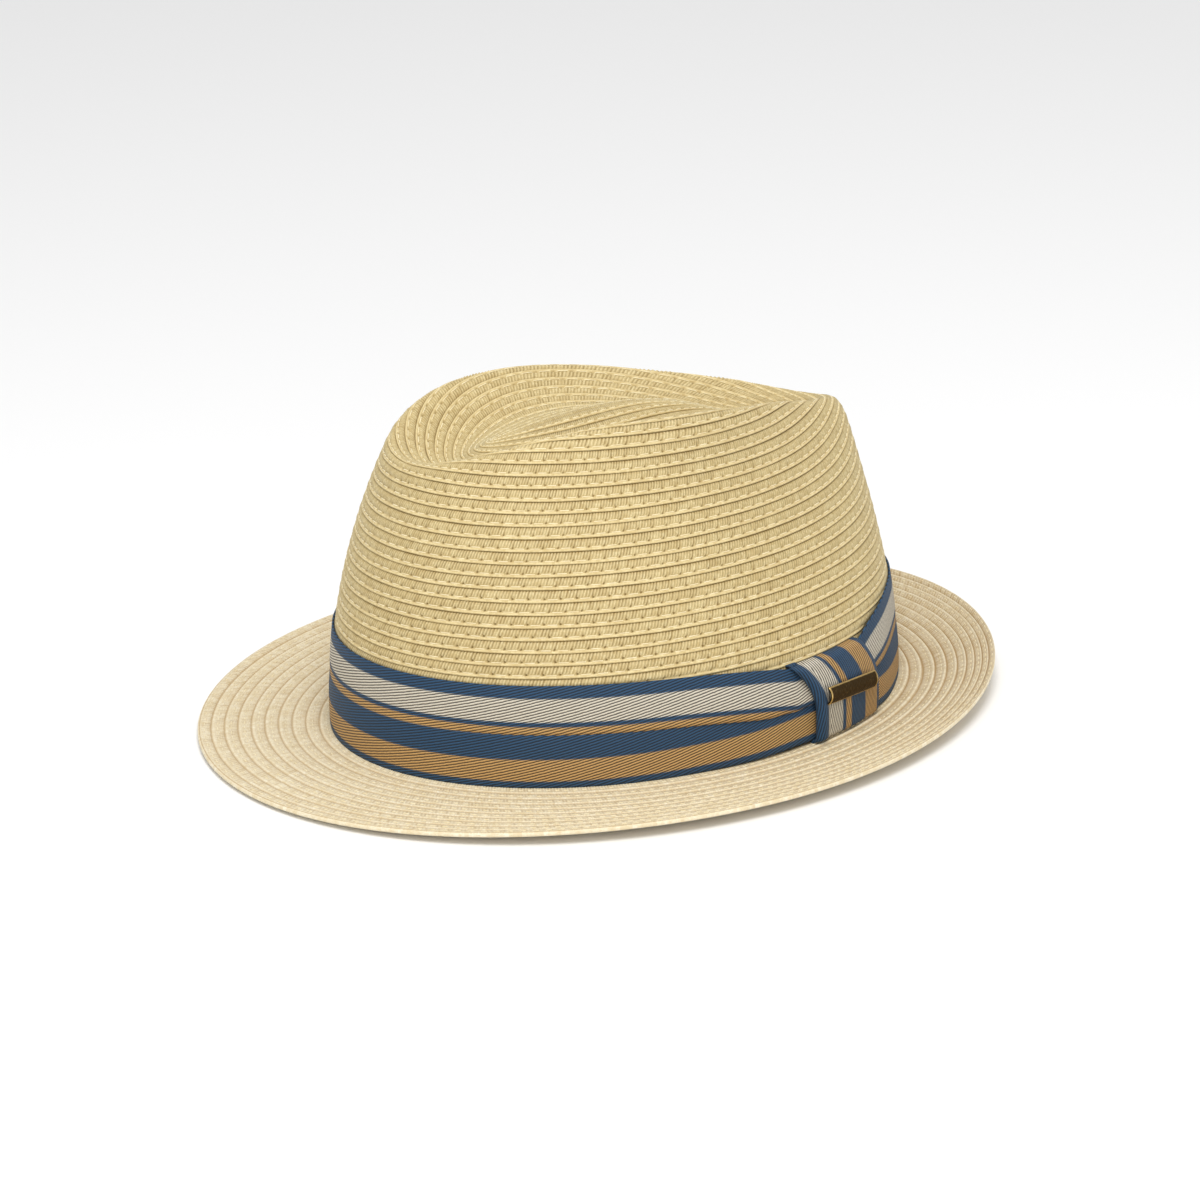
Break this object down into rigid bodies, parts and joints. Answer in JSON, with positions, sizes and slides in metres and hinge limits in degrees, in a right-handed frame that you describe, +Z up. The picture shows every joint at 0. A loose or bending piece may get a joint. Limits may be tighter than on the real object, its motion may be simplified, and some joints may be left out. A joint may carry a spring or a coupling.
{
  "type": "fedora hat",
  "caption": "Straw fedora with a teardrop crown, a turned-up back brim, a striped ribbon hatband, a keeper loop and a small brass badge.",
  "frame": {"origin": "centre of the bounding box at the table plane, under the middle of the brim", "axes": "+Z up, the front of the hat faces -Y, the wearer's left is +X"},
  "size_m": [0.2492, 0.2912, 0.1147],
  "materials": {
    "crown_straw": "braided paper straw, matte",
    "brim_straw": "braided paper straw, matte",
    "ribbon": "twill ribbon with stripes",
    "badge_brass": "antique, darkened",
    "edge_wire": "drawn wire",
    "sweatband_cloth": "woven cotton tape",
    "label_cloth": "woven satin"
  },
  "bodies": {
    "root": {"crown_braid": "crown_straw", "brim_braid": "brim_straw", "brim_edge_wire": "edge_wire", "hatband": "ribbon", "band_keeper": "ribbon", "badge_plate": "badge_brass", "sweatband": "sweatband_cloth", "sweatband_reed": "sweatband_cloth", "sweatband_joint_tape": "sweatband_cloth", "size_label": "label_cloth", "care_label": "label_cloth"}
  },
  "joints": []
}
